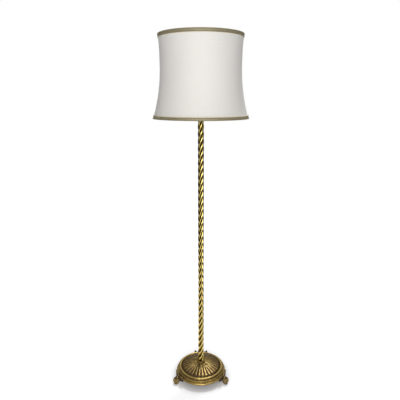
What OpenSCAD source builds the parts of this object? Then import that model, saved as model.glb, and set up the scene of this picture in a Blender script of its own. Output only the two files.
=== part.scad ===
// Candlestick floor lamp: a rope-twist brass column on a round base with three winged paw feet,
// under a waisted drum shade. Millimetres. The origin is on the floor, on the column's axis.
// +Z is up, and the lamp is seen from -Y.

/* [Feet] */
// Thickness of the felt pads under the feet
pad_t = 2; // [1:0.5:4]
// Height of the feet between their pads and the underside of the base
foot_clear = 26; // [22:1:40]
// How far the toes stand out past the plinth ring
foot_reach = 36; // [35:1:50]
// Width of one paw
paw_w = 36; // [30:1:42]
// Half the spread of a foot's two wings, along the rim
wing_half = 38; // [32:1:46]
// Height of the wings' tips above the underside of the base
wing_h = 23; // [18:1:30]
// Thickness of the wings and of the tongue under the base
foot_wall = 6; // [4:0.5:8]
// Azimuth of the first foot, with the others a third of a turn apart
foot_azimuth = 90; // [0:5:115]

/* [Base] */
// Radius of the plinth ring, the widest part of the base
plinth_r = 131; // [115:1:160]
// Height of the plinth ring
plinth_h = 10; // [8:1:14]
// Radius of the ornamented band
band_r = 123.5; // [118:0.5:127]
// Height of the ornamented band
band_h = 12; // [8:1:18]
// Centre radius of the round moulding
moulding_r = 110.5; // [92:0.5:114]
// Thickness radius of the round moulding
moulding_round = 6; // [4:0.5:8]
// Wall of the hollow rim casting
rim_wall = 4; // [3:0.5:6]
// Rise of the domed cover
dome_rise = 22; // [14:1:40]
// Wall of the domed cover
dome_wall = 3; // [2:0.5:5]
// Radius of the flat on top of the dome
dome_flat_r = 30; // [24:1:36]
// Height of the ballast disc
ballast_h = 18; // [10:1:21]
// Thickness of the base plate
plate_t = 2; // [1.5:0.5:3]

/* [Column] */
// Length of the rope-twist column
column_length = 1311; // [900:1:1500]
// Number of strands in the twist
strands = 4; // [3:1:6]
// Length in which a strand goes once round
twist_lead = 140.8; // [100:1:200]
// Radius of one strand
strand_r = 6.2; // [5.5:0.1:7]
// Distance of the strands' centres from the axis
strand_centre = 8.8; // [8:0.1:10]
// Height above the floor at which a strand points along +X
twist_start = 2.8; // [0:0.1:35]
// Height of the cup that the column stands in
cup_h = 12; // [11:1:20]
// Radius of the cup's rim
cup_r = 25; // [22:0.5:30]

/* [Rod] */
// Outer radius of the hollow threaded rod
rod_r = 5; // [4:0.1:6]
// Bore of the rod, which a lead passes through
rod_bore_r = 3.5; // [2.5:0.1:3.6]
// Length of the neck between the column and the socket
neck_length = 28; // [20:1:60]

/* [Harp] */
// Height of the harp's seat above the saddle
harp_h = 302; // [250:1:340]
// Half the widest inner width of the harp
harp_half_w = 55; // [50:1:65]
// Half the distance between the harp's legs
leg_half_w = 32; // [28:1:36]
// Radius of the harp wire
wire_r = 2.2; // [1.8:0.1:2.6]
// How far a ferrule slides up
ferrule_travel = 12; // [9:1:14]

/* [Socket and bulb] */
// Gap between the bulb's screw cap and the outside of the socket shell
socket_ring = 3.9; // [3.9:0.1:6]
// Height of the socket shell
socket_h = 40; // [36:1:46]
// Radius of the bulb's screw cap
bulb_cap_r = 13.1; // [11:0.1:16]
// Radius of the bulb's glass
bulb_r = 30; // [24:1:40]
// Length of the glass above the cap
bulb_glass_h = 84; // [70:1:110]

/* [Shade] */
// Height of the shade
shade_h = 381; // [300:1:460]
// Radius of the fabric at the top edge
shade_top_r = 198; // [170:1:215]
// Radius of the fabric at the waist
shade_waist_r = 191; // [165:1:205]
// Radius of the fabric at the bottom edge
shade_bottom_r = 226.8; // [195:1:245]
// Height of the waist above the bottom edge
waist_h = 236; // [180:1:280]
// How far the harp's seat lies below the top edge
seat_drop = 19; // [16:1:26]
// Number of struts in the frame
strut_count = 12; // [6:1:16]
// Height of the braid trims
trim_h = 18.5; // [12:0.5:24]
// Thickness of the braid trims
trim_t = 2; // [1:0.5:3]
// Thickness of the fabric
fabric_t = 1; // [0.6:0.1:1.5]

/* [Hidden] */
$fn = 96;

// Colours
gilt = "#c9a24a";
antique_gilt = "#8f7038";
iron = "#4a4a4a";
silk = "#f2efe9";
steel = "#b8b8b8";

// Clearances
loose = 0.4;      // round a piece that passes through
snug = 0.1;       // round a piece that fits
skin_gap = 0.3;   // between layers and between pieces that move past each other
eps = 0.01;       // past a face that is cut through

// Base levels
z_base = pad_t + foot_clear;
z_band = z_base + plinth_h;
z_band_top = z_band + band_h;
moulding_lift = 4;
z_moulding = z_band_top + moulding_lift;
z_dome_seat = z_moulding + 1;
dome_edge_h = 3;
z_dome_edge = z_dome_seat + dome_edge_h;
z_dome_top = z_dome_edge + dome_rise;

// Base radii
plinth_round = plinth_h / 2;
step_r = band_r + 2.5;
step_h = 3;
ballast_flange_h = 4;
z_plate_top = z_base + plate_t;
z_shoulder = z_plate_top + ballast_flange_h;
dome_edge_r = moulding_r - moulding_round - 0.5;
rim_bore_r = dome_edge_r - 6;
plinth_bore_r = dome_edge_r + 1;
rebate_r = plinth_bore_r + 7;
plate_r = rebate_r - 0.5;
ballast_r = rim_bore_r - 1;
z_ballast_top = z_shoulder + ballast_h;
hub_r = 30;
hub_h = 14;
z_well_top = z_ballast_top + 4;
dome_power = 0.8;
dome_steps = 12;

// Rod and its nuts
pass_r = rod_r + loose;
thread_r = rod_r + snug;
nut_r = rod_r * 1.96;
well_r = nut_r + 10.2;
washer_t = 2;
base_nut_h = 7;
z_base_nut = z_well_top - washer_t - base_nut_h;
rod_tail = 3;
z_rod_bottom = z_base_nut - rod_tail;

// Cord way in the base
cord_azimuth = 60;
cord_r = ballast_r - 17;
grommet_bore_r = 3.6;
grommet_neck_r = 6;
grommet_flange_r = 9;
channel_w = 9;
channel_h = 10;

// Foot
screw_r = 2.4;
foot_screw_r = (rebate_r + plinth_r - plinth_round) / 2 + 1;
tongue_w = 24;
screw_head_h = 4;
foot_r = plinth_r + foot_reach;
pad_r = 9;
pad_at_r = foot_r - 16;
paw_back_r = plinth_r + 3;
plate_screw_at_r = ballast_r - 35;
plate_screw_r = 2;
plate_screw_in = 8;
foot_hole_h = plinth_h - 2;
tip_gap = 1;
foot_turns = [for (i = [0 : 2]) foot_azimuth + i * 120];

// Column
bowl_depth = 7;
z_column = z_dome_top + cup_h - bowl_depth;
section_count = 3;
section_h = column_length / section_count;
z_column_top = z_column + column_length;
column_r = strand_centre + strand_r;
sleeve_r = pass_r + 1.1;
core_r = sleeve_r + 1.3;
points_per_strand = 6;
slices_per_lead = 24;
sleeve_depth = 10;

// Above the column
cap_t = 8;
cap_skirt = 6;
cap_r = column_r + 2;
locknut_h = 5;
neck_r = rod_r + 3;
saddle_t = 2;
saddle_w = 12;
saddle_eye_r = rod_r + 5;
z_neck = z_column_top + cap_t + locknut_h;
z_saddle = z_neck + neck_length;
z_socket = z_saddle + saddle_t;
rod_in_socket = 8;
z_rod_top = z_socket + rod_in_socket;

// Harp
shoulder_h = 13;
shoulder_t = 1.5;
shoulder_r = 4.2;
ferrule_r = 4;
ferrule_h = 18;
ferrule_bore_r = wire_r + 0.08;
z_ferrule = z_socket + shoulder_h;
prong_in_ferrule = 10;
z_leg = z_ferrule + prong_in_ferrule + skin_gap;
z_bend = z_ferrule + ferrule_h + ferrule_travel + 4;
s_bend_r = 30;
s_bend_angle = acos(1 - (harp_half_w - leg_half_w) / (2 * s_bend_r));
z_wide = z_bend + 2 * s_bend_r * sin(s_bend_angle);
z_seat = z_socket + harp_h;
seat_r = 9;
seat_t = 5;
top_bend_r = harp_half_w - seat_r + 1;
z_top_wire = z_seat - wire_r - skin_gap;
z_top_bend = z_top_wire - top_bend_r;
stud_r = 3.1;
stud_h = 17;
stud_head_r = 6;
stud_head_h = 3;

// Socket
socket_r = bulb_cap_r + socket_ring;
socket_wall = 0.8;
liner_wall = 0.8;
socket_cap_h = 18;
z_shell = z_socket + socket_cap_h;
z_shell_top = z_shell + socket_h;
lip_h = 4;
lip_out_r = socket_r - socket_wall - snug;
lip_wall = 0.9;
body_r = lip_out_r - lip_wall - 0.2;
terminal_h = 3.2;
z_body = z_shell - 5;
z_body_top = z_shell_top - 23;
z_switch = z_shell + 10;
shell_hole_r = 4;
shaft_r = 2.5;
shaft_in = 6;
shaft_out = socket_r + 14;
knob_r = 7;
knob_start = socket_r + 4;
knob_l = 13;
screw_shell_r = bulb_cap_r + 0.3;
screw_shell_wall = 0.6;
contact_h = 2.5;
contact_r = 5;

// Bulb
tip_h = 2.2;
tip_r = 4.5;
insulator_h = 4;
bulb_cap_h = 20;
z_tip = z_body_top + contact_h + skin_gap;
z_insulator = z_tip + tip_h;
z_bulb_cap = z_insulator + insulator_h;
z_glass = z_bulb_cap + bulb_cap_h;
glass_wall = 0.8;
glass_neck_r = bulb_cap_r - 0.6;
z_glass_top = z_glass + bulb_glass_h;
z_bulb_centre = z_glass_top - bulb_r;

// Shade
z_shade_top = z_seat + seat_drop;
z_shade_bottom = z_shade_top - shade_h;
z_waist = z_shade_bottom + waist_h;
flare_power_up = 2.6;
flare_power_down = 2.05;
shade_steps = 16;
ring_r = 2.4;
ring_edge = 4;
strut_r = 1.4;
lining_t = 0.8;
strut_in = fabric_t + skin_gap + strut_r + 0.1;
lining_in = strut_in + strut_r + skin_gap + 0.1;
z_top_ring = z_shade_top - ring_edge;
z_bottom_ring = z_shade_bottom + ring_edge;
lining_edge = 6;
spider_t = 2.4;
spider_r = 15;
spider_bore_r = stud_r + 0.5;
arm_r = 2.2;
arm_start_r = 12;

// Finial
finial_h = 42;
finial_base_r = 9.5;
insert_r = 5;
insert_h = 12;
z_finial = z_seat + spider_t;

// Radius of the fabric's outside at a height above the floor
function shade_r(z) = z > z_waist
    ? shade_waist_r + (shade_top_r - shade_waist_r)
        * pow((z - z_waist) / (z_shade_top - z_waist), flare_power_up)
    : shade_waist_r + (shade_bottom_r - shade_waist_r)
        * pow((z_waist - z) / waist_h, flare_power_down);

// Heights that divide a stretch into equal steps
function levels(z0, z1, n) = [for (i = [0 : n]) z0 + (z1 - z0) * i / n];

// Radius of the column's section at an angle from the nearest strand
function strand_reach(a) =
    let (across = pow(strand_r, 2) - pow(strand_centre * sin(a), 2))
    max(core_r, across > 0 ? strand_centre * cos(a) + sqrt(across) : 0);

// Outline of the twisted column's section
function column_outline() = [
    for (i = [0 : strands * points_per_strand - 1])
        let (pitch = 360 / strands, a = i * 360 / (strands * points_per_strand))
        let (off = a - pitch * round(a / pitch))
        strand_reach(off) * [cos(a), sin(a)]
];

// Height of the dome's outside at a radius
function dome_z(r) = z_dome_edge
    + dome_rise * pow((dome_edge_r - r) / (dome_edge_r - dome_flat_r), dome_power);

// Point on a smooth curve through four control points
function bezier(p, t) = pow(1 - t, 3) * p[0] + 3 * pow(1 - t, 2) * t * p[1]
    + 3 * (1 - t) * pow(t, 2) * p[2] + pow(t, 3) * p[3];
function bezier_points(p, n) = [for (i = [0 : n]) bezier(p, i / n)];

// A tube between two heights
module tube(r_out, r_in, z0, z1) {
    translate([0, 0, z0])
        difference() {
            cylinder(h = z1 - z0, r = r_out);
            translate([0, 0, -eps]) cylinder(h = z1 - z0 + 2 * eps, r = r_in);
        }
}

// A hex nut on the rod
module hex_nut(z0, h) {
    translate([0, 0, z0])
        difference() {
            cylinder(h = h, r = nut_r, $fn = 6);
            translate([0, 0, -eps]) cylinder(h = h + 2 * eps, r = thread_r);
        }
}

// A screw that points up, with its head under height z
module screw_up(r, z, length, head_r, head_h) {
    translate([0, 0, z - head_h]) cylinder(h = head_h, r = head_r);
    translate([0, 0, z - eps]) cylinder(h = length + eps, r = r);
}

// A layer of the shade: between two depths in from the fabric's outside
module shade_layer(z0, z1, out, depth) {
    zs = levels(z0, z1, shade_steps);
    outside = [for (z = zs) [shade_r(z) - out, z]];
    inside = [for (i = [shade_steps : -1 : 0]) [shade_r(zs[i]) - depth, zs[i]]];
    rotate_extrude() polygon(concat(outside, inside));
}

// ---- Feet ----

// Side outline of a paw: radius and height
module paw_side() {
    top_z = z_base + plinth_h;
    knee = bezier_points([[paw_back_r, top_z], [paw_back_r + 12, top_z - 2],
        [foot_r - 28, pad_t + 24], [foot_r - 14, pad_t + 18]], 8);
    toe = bezier_points([[foot_r - 14, pad_t + 18], [foot_r - 2, pad_t + 16],
        [foot_r + 1, pad_t + 4], [foot_r - 3, pad_t]], 8);
    heel = bezier_points([[foot_r - 34, pad_t], [foot_r - 30, pad_t + 12],
        [paw_back_r + 4, z_base - 8], [paw_back_r - 3, z_base]], 8);
    polygon(concat(knee, toe, heel, [[paw_back_r - 3, z_base + 4]]));
}

// Front outline of a paw: width and height
module paw_front() {
    half = paw_w / 2;
    side = bezier_points([[half, pad_t], [half + 1, pad_t + 14],
        [half - 6, z_base - 6], [half - 7, z_base + plinth_h + 1]], 8);
    polygon(concat(side, [for (i = [8 : -1 : 0]) [-side[i][0], side[i][1]]]));
}

// Outline of both wings: distance along the rim and height
module wing_outline() {
    tip_z = z_base + wing_h;
    upper = bezier_points([[0, z_base + plinth_h], [wing_half * 0.4, z_base + plinth_h - 2],
        [wing_half * 0.6, tip_z - 2], [wing_half, tip_z]], 8);
    lower = bezier_points([[wing_half + 1, tip_z - 4], [wing_half - 2, z_base + 6],
        [wing_half * 0.5, z_base - 2], [0, z_base - 8]], 8);
    half = concat(upper, lower);
    for (side = [-1, 1]) polygon([for (p = half) [side * p[0], p[1]]]);
}

module paw() {
    rotate([90, 0, 0])
        translate([0, 0, -paw_w])
            linear_extrude(2 * paw_w) paw_side();
}

module foot(turn) {
    color(antique_gilt)
        rotate([0, 0, turn])
            difference() {
                union() {
                    intersection() {
                        paw();
                        rotate([90, 0, 90]) linear_extrude(2 * foot_r) paw_front();
                    }
                    intersection() {
                        tube(plinth_r + skin_gap + foot_wall, plinth_r + skin_gap, 0, z_band_top + wing_h);
                        rotate([90, 0, 90]) linear_extrude(2 * foot_r) wing_outline();
                    }
                    intersection() {
                        translate([rebate_r + skin_gap, -tongue_w / 2, z_base - foot_wall])
                            cube([paw_back_r + foot_wall - rebate_r, tongue_w, foot_wall]);
                        tube(foot_r, rebate_r + skin_gap, 0, z_base);
                    }
                }
                translate([foot_screw_r, 0, z_base - foot_wall - eps])
                    cylinder(h = foot_wall + 2 * eps, r = screw_r + skin_gap);
                translate([foot_screw_r, 0, -eps])
                    cylinder(h = z_base - foot_wall + 2 * eps, r = 2 * screw_r + 1);
            }
}

module foot_pads() {
    color("dimgray")
        for (turn = foot_turns)
            rotate([0, 0, turn])
                translate([pad_at_r, 0, 0]) cylinder(h = pad_t, r = pad_r);
}

module foot_screws() {
    color(steel)
        for (turn = foot_turns)
            rotate([0, 0, turn])
                translate([foot_screw_r, 0, 0])
                    screw_up(screw_r, z_base - foot_wall, foot_wall + foot_hole_h - tip_gap,
                        2 * screw_r, screw_head_h);
}

// ---- Base ----

module plinth_ring() {
    color(gilt)
        difference() {
            rotate_extrude()
                difference() {
                    union() {
                        translate([plinth_bore_r, z_base])
                            square([plinth_r - plinth_round - plinth_bore_r, plinth_h]);
                        translate([plinth_r - plinth_round, z_base + plinth_round])
                            circle(r = plinth_round);
                    }
                    translate([plinth_bore_r - 1, z_base - 1])
                        square([rebate_r - plinth_bore_r + 1, z_shoulder - z_base + 1]);
                }
            for (turn = foot_turns)
                rotate([0, 0, turn])
                    translate([foot_screw_r, 0, z_base - eps])
                        cylinder(h = foot_hole_h + eps, r = screw_r + snug);
        }
}

// A casting, hollow from below
module base_rim() {
    color(antique_gilt)
        rotate_extrude()
            difference() {
                union() {
                    translate([rim_bore_r, z_band])
                        square([step_r - rim_bore_r, step_h]);
                    translate([rim_bore_r, z_band])
                        square([band_r - rim_bore_r, band_h]);
                    translate([rim_bore_r, z_band])
                        square([moulding_r - rim_bore_r, z_dome_seat - z_band]);
                    translate([moulding_r, z_moulding]) circle(r = moulding_round);
                }
                translate([rim_bore_r + rim_wall, z_band - 1])
                    square([band_r - rim_bore_r - 2 * rim_wall, band_h - rim_wall + 1]);
            }
}

module base_dome() {
    rs = levels(dome_edge_r, dome_flat_r, dome_steps);
    outside = [for (r = rs) [r, dome_z(r)]];
    inside = [for (i = [dome_steps : -1 : 0])
        [rs[i] - (i == 0 ? dome_wall : 0), dome_z(rs[i]) - dome_wall]];
    color(antique_gilt)
        rotate_extrude()
            polygon(concat([[dome_edge_r, z_dome_seat]], outside, [[pass_r, z_dome_top],
                [pass_r, z_dome_top - dome_wall]], inside, [[dome_edge_r - dome_wall, z_dome_seat]]));
}

module at_cord() {
    rotate([0, 0, cord_azimuth]) translate([cord_r, 0, 0]) children();
}

module ballast() {
    color(iron)
        difference() {
            union() {
                translate([0, 0, z_plate_top]) cylinder(h = ballast_flange_h, r = plate_r);
                translate([0, 0, z_plate_top]) cylinder(h = z_ballast_top - z_plate_top, r = ballast_r);
                translate([0, 0, z_plate_top]) cylinder(h = z_ballast_top + hub_h - z_plate_top, r = hub_r);
            }
            translate([0, 0, z_plate_top]) cylinder(h = z_ballast_top + hub_h, r = pass_r);
            translate([0, 0, z_plate_top - 1]) cylinder(h = z_well_top - z_plate_top + 1, r = well_r);
            rotate([0, 0, cord_azimuth])
                translate([0, -channel_w / 2, z_plate_top - 1]) cube([cord_r, channel_w, channel_h + 1]);
            at_cord()
                translate([0, 0, z_plate_top - 1]) cylinder(h = channel_h + 1, r = grommet_flange_r + 1);
            for (turn = foot_turns)
                rotate([0, 0, turn])
                    translate([plate_screw_at_r, 0, z_plate_top - 1])
                        cylinder(h = plate_screw_in + tip_gap + 1, r = plate_screw_r + snug);
        }
}

module base_plate() {
    color(iron)
        difference() {
            translate([0, 0, z_base]) cylinder(h = plate_t, r = plate_r);
            at_cord() translate([0, 0, z_base - 1]) cylinder(h = plate_t + 2, r = grommet_neck_r + snug);
            for (turn = foot_turns)
                rotate([0, 0, turn])
                    translate([plate_screw_at_r, 0, z_base - 1])
                        cylinder(h = plate_t + 2, r = plate_screw_r + skin_gap);
        }
}

module plate_screws() {
    color(steel)
        for (turn = foot_turns)
            rotate([0, 0, turn])
                translate([plate_screw_at_r, 0, 0])
                    screw_up(plate_screw_r, z_base, plate_t + plate_screw_in,
                        2 * plate_screw_r, plate_screw_r);
}

module cord_grommet() {
    flange_t = 1.5;
    color("black")
        at_cord()
            difference() {
                union() {
                    translate([0, 0, z_base]) cylinder(h = plate_t, r = grommet_neck_r);
                    translate([0, 0, z_base - flange_t]) cylinder(h = flange_t, r = grommet_flange_r);
                    translate([0, 0, z_plate_top]) cylinder(h = flange_t, r = grommet_flange_r);
                }
                translate([0, 0, z_base - flange_t - 1])
                    cylinder(h = plate_t + 2 * flange_t + 2, r = grommet_bore_r);
            }
}

module base_washer() {
    color(steel) tube(well_r - 2, thread_r, z_well_top - washer_t, z_well_top);
}

module base_nut() {
    color(steel) hex_nut(z_base_nut, base_nut_h);
}

module stem_cup() {
    flange_r = 20;
    neck = rod_r + 8;
    wall = 2.5;
    lip = 2;
    z_rim = z_dome_top + cup_h;
    z_flare = z_dome_top + 3;
    flare = bezier_points([[neck, z_flare], [neck + 3, z_flare + 0.3],
        [cup_r, z_rim - 7], [cup_r, z_rim - lip]], 8);
    bowl = bezier_points([[cup_r - wall, z_rim], [cup_r - wall - 1, z_rim - 3],
        [column_r + 3, z_column + 2], [column_r + skin_gap, z_column + 1.5]], 6);
    color(antique_gilt)
        rotate_extrude()
            polygon(concat(
                [[pass_r, z_dome_top], [flange_r, z_dome_top], [flange_r, z_dome_top + 1.2],
                    [neck + 1, z_dome_top + 2.2]],
                flare, [[cup_r - lip / 2, z_rim]], bowl,
                [[column_r + skin_gap, z_column], [pass_r, z_column]]));
}

// ---- Column ----

// One section of the twist, its strands in step with the sections below
module column_section(i) {
    z0 = z_column + i * section_h;
    top = i == section_count - 1;
    color(gilt)
        difference() {
            translate([0, 0, z0])
                rotate([0, 0, 360 * (z0 - twist_start) / twist_lead])
                    linear_extrude(height = section_h, twist = -360 * section_h / twist_lead,
                            slices = ceil(slices_per_lead * section_h / twist_lead),
                            segments = strands * points_per_strand)
                        polygon(column_outline());
            translate([0, 0, z0 - 1]) cylinder(h = section_h + 2, r = pass_r);
            if (i > 0)
                translate([0, 0, z0 - 1]) cylinder(h = sleeve_depth + 1, r = sleeve_r + snug);
            if (!top)
                translate([0, 0, z0 + section_h - sleeve_depth])
                    cylinder(h = sleeve_depth + 1, r = sleeve_r + snug);
        }
}

module column_sleeves() {
    color(gilt)
        for (i = [1 : section_count - 1])
            tube(sleeve_r, pass_r, z_column + i * section_h - sleeve_depth + skin_gap,
                z_column + i * section_h + sleeve_depth - skin_gap);
}

module threaded_rod() {
    color(steel) tube(rod_r, rod_bore_r, z_rod_bottom, z_rod_top);
}

module column_cap() {
    color(gilt)
        rotate_extrude()
            polygon([[pass_r, z_column_top], [column_r + skin_gap, z_column_top],
                [column_r + skin_gap, z_column_top - cap_skirt], [cap_r, z_column_top - cap_skirt],
                [cap_r, z_column_top + cap_t / 2], [cap_r - 3, z_column_top + cap_t - 1],
                [nut_r + 1, z_column_top + cap_t], [pass_r, z_column_top + cap_t]]);
}

module top_locknut() {
    color(steel) hex_nut(z_column_top + cap_t, locknut_h);
}

module neck_tube() {
    color(gilt) tube(neck_r, pass_r, z_neck, z_saddle);
}

// ---- Harp ----

module harp_saddle() {
    color(gilt)
        difference() {
            union() {
                translate([-leg_half_w, -saddle_w / 2, z_saddle])
                    cube([2 * leg_half_w, saddle_w, saddle_t]);
                translate([0, 0, z_saddle]) cylinder(h = saddle_t, r = saddle_eye_r);
                for (side = [-1, 1])
                    translate([side * leg_half_w, 0, z_saddle]) {
                        cylinder(h = saddle_t, r = saddle_w / 2);
                        cylinder(h = z_ferrule + prong_in_ferrule - z_saddle, r = wire_r);
                        translate([0, 0, z_ferrule - shoulder_t - z_saddle])
                            cylinder(h = shoulder_t, r = shoulder_r);
                    }
            }
            translate([0, 0, z_saddle - 1]) cylinder(h = saddle_t + 2, r = thread_r);
        }
}

// Points of an arc of the harp's wire in the XZ plane: x, z and the way that its side faces
function wire_arc(x, z, radius, from, sweep, steps, side) = [
    for (i = [0 : steps])
        let (a = from + sweep * i / steps)
        [x + radius * cos(a), z + radius * sin(a), side * cos(a), side * sin(a)]
];
function harp_half() = concat(
    [[leg_half_w, z_bend - wire_r, 1, 0]],
    wire_arc(leg_half_w + s_bend_r, z_bend, s_bend_r, 180, -s_bend_angle, 5, -1),
    wire_arc(harp_half_w - s_bend_r, z_wide, s_bend_r, -s_bend_angle, s_bend_angle, 5, 1),
    wire_arc(harp_half_w - top_bend_r, z_top_bend, top_bend_r, 0, 90, 9, 1));

// The bow of the harp: one wire from leg to leg
module harp_bow() {
    sides = 12;
    right = harp_half();
    last = len(right) - 1;
    path = concat(right, [for (i = [last : -1 : 0]) let (p = right[i]) [-p[0], p[1], -p[2], p[3]]]);
    rings = len(path);
    points = [for (p = path, i = [0 : sides - 1])
        let (out = wire_r * cos(i * 360 / sides))
        [p[0] + out * p[2], wire_r * sin(i * 360 / sides), p[1] + out * p[3]]];
    walls = [for (k = [0 : rings - 2], i = [0 : sides - 1])
        let (a = k * sides + i, b = k * sides + (i + 1) % sides)
        [a, a + sides, b + sides, b]];
    polyhedron(points, concat(walls, [[for (i = [0 : sides - 1]) i],
        [for (i = [sides - 1 : -1 : 0]) (rings - 1) * sides + i]]));
}

module harp() {
    color(gilt)
        difference() {
            union() {
                harp_bow();
                for (side = [-1, 1])
                    translate([side * leg_half_w, 0, z_leg]) cylinder(h = z_bend - z_leg, r = wire_r);
                translate([0, 0, z_seat - seat_t]) cylinder(h = seat_t, r = seat_r);
            }
            translate([0, 0, z_seat - seat_t - 1]) cylinder(h = seat_t + 2, r = stud_r + snug);
        }
}

module harp_stud() {
    color(steel) {
        translate([0, 0, z_seat - seat_t - stud_head_h]) cylinder(h = stud_head_h, r = stud_head_r);
        translate([0, 0, z_seat - seat_t - eps]) cylinder(h = seat_t + stud_h + eps, r = stud_r);
    }
}

module ferrule(side) {
    color(gilt)
        translate([side * leg_half_w, 0, 0])
            tube(ferrule_r, ferrule_bore_r, z_ferrule, z_ferrule + ferrule_h);
}

// ---- Socket ----

module socket_cap() {
    hub = rod_r + 3;
    hub_l = 6;
    cavity_z = z_body - 4;
    side = bezier_points([[hub, z_socket + hub_l], [hub + 4, z_socket + hub_l + 1],
        [socket_r, z_shell - 8], [socket_r, z_shell - 3]], 8);
    color(gilt)
        rotate_extrude()
            polygon(concat([[thread_r, z_socket], [hub, z_socket]], side,
                [[socket_r, z_shell], [lip_out_r, z_shell], [lip_out_r, z_shell + lip_h],
                    [lip_out_r - lip_wall, z_shell + lip_h], [lip_out_r - lip_wall, z_body],
                    [body_r - 3, z_body], [body_r - 3, cavity_z + 1], [thread_r, cavity_z]]));
}

// The hole in the socket's side that the switch shaft comes out of
module switch_hole(r, depth_in) {
    translate([0, -depth_in, z_switch])
        rotate([90, 0, 0]) cylinder(h = socket_r + 1, r = r);
}

module socket_shell() {
    color(gilt)
        difference() {
            tube(socket_r, socket_r - socket_wall, z_shell, z_shell_top + 1);
            switch_hole(shell_hole_r, body_r - 2);
        }
}

module socket_liner() {
    color("tan")
        difference() {
            tube(lip_out_r, lip_out_r - liner_wall, z_shell + lip_h + skin_gap, z_shell_top);
            switch_hole(shell_hole_r, body_r - 2);
        }
}

module socket_body() {
    notch_w = 8;
    notch_h = 7;
    notch_x = body_r - 5;
    color("saddlebrown")
        difference() {
            translate([0, 0, z_body]) cylinder(h = z_body_top - z_body, r = body_r);
            switch_hole(shaft_r + 0.08, shaft_in);
            for (side = [-1, 1])
                translate([side * (notch_x + 5) - 5, -notch_w / 2, z_body - eps])
                    cube([10, notch_w, notch_h]);
        }
}

module screw_shell() {
    color(gilt)
        union() {
            tube(screw_shell_r + screw_shell_wall, screw_shell_r, z_body_top, z_shell_top);
            tube(screw_shell_r + 0.1, contact_r + 3, z_body_top, z_body_top + screw_shell_wall);
        }
}

module centre_contact() {
    color(gilt) translate([0, 0, z_body_top]) cylinder(h = contact_h, r = contact_r);
}

module terminal_screws() {
    color(steel)
        for (side = [-1, 1])
            translate([side * (body_r - 5), 0, z_body + terminal_h])
                rotate([0, side * 90, 0]) cylinder(h = 4, r = 2.5);
}

module switch_shaft() {
    color(gilt)
        translate([0, -shaft_in - skin_gap, z_switch])
            rotate([90, 0, 0]) cylinder(h = shaft_out - shaft_in, r = shaft_r);
}

module switch_knob() {
    flutes = 12;
    color("black")
        translate([0, -knob_start, z_switch])
            rotate([90, 0, 0])
                difference() {
                    union() {
                        cylinder(h = knob_l, r = knob_r - 0.5);
                        for (i = [0 : flutes - 1])
                            rotate([0, 0, i * 360 / flutes])
                                translate([knob_r - 1, 0, 0]) cylinder(h = knob_l - 1, r = 1, $fn = 24);
                    }
                    translate([0, 0, -1]) cylinder(h = shaft_out - knob_start + 2, r = shaft_r + snug);
                }
}

// ---- Bulb ----

module bulb_contact() {
    color("silver") translate([0, 0, z_tip]) cylinder(h = tip_h, r = tip_r);
}

module bulb_insulator() {
    color("black")
        rotate_extrude()
            polygon([[0, z_insulator], [tip_r, z_insulator], [bulb_cap_r - 1, z_bulb_cap], [0, z_bulb_cap]]);
}

module bulb_cap() {
    color("silver") tube(bulb_cap_r, glass_neck_r - glass_wall, z_bulb_cap, z_glass);
}

module bulb_glass() {
    waist = z_bulb_centre - bulb_r * 0.7;
    shoulder_r_out = bulb_r * sin(acos(-0.7));
    neck = bezier_points([[glass_neck_r, z_glass], [glass_neck_r + 1, z_glass + 14],
        [shoulder_r_out - 6, waist - 8], [shoulder_r_out, waist]], 8);
    crown = [for (a = [-40 : 10 : 90]) bulb_r * [cos(a), sin(a)] + [0, z_bulb_centre]];
    outside = concat(neck, crown);
    last = len(outside) - 1;
    inside = [for (i = [last : -1 : 0])
        let (p = outside[i], down = i == last ? glass_wall : 0)
        [max(0, p[0] - (i == last ? 0 : glass_wall)), p[1] - down]];
    color("white", 0.7) rotate_extrude() polygon(concat(outside, inside));
}

module bulb_stem() {
    arm_l = 12;
    color("silver")
        union() {
            translate([0, 0, z_bulb_cap]) cylinder(h = z_bulb_centre - z_bulb_cap - 10, r = 3);
            translate([0, 0, z_bulb_cap]) cylinder(h = 2, r = glass_neck_r - glass_wall - snug);
            for (side = [-1, 1])
                translate([0, 0, z_bulb_centre - 12])
                    rotate([0, side * 35, 0]) cylinder(h = arm_l, r = 0.6, $fn = 24);
        }
}

// ---- Shade ----

module shade_fabric() {
    color(silk) shade_layer(z_shade_bottom, z_shade_top, 0, fabric_t);
}

module shade_lining() {
    color("white")
        shade_layer(z_bottom_ring + lining_edge, z_top_ring - lining_edge, lining_in, lining_in + lining_t);
}

module frame_ring(z) {
    color(steel)
        rotate_extrude()
            translate([shade_r(z) - fabric_t - skin_gap - ring_r - 0.3, z]) circle(r = ring_r, $fn = 32);
}

// A wire that follows the fabric from ring to ring, as a stack of small level hexagons
module strut() {
    sides = 6;
    zs = levels(z_bottom_ring + ring_r + 0.2, z_top_ring - ring_r - 0.2, shade_steps);
    points = [for (z = zs, i = [0 : sides - 1])
        [shade_r(z) - strut_in + strut_r * cos(60 * i), strut_r * sin(60 * i), z]];
    walls = [for (k = [0 : shade_steps - 1], i = [0 : sides - 1])
        let (a = k * sides + i, b = k * sides + (i + 1) % sides)
        [a, a + sides, b + sides, b]];
    polyhedron(points, concat(walls, [[for (i = [0 : sides - 1]) i],
        [for (i = [sides - 1 : -1 : 0]) shade_steps * sides + i]]));
}

module shade_struts() {
    color(steel)
        for (i = [0 : strut_count - 1])
            rotate([0, 0, (i + 0.5) * 360 / strut_count]) strut();
}

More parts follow.
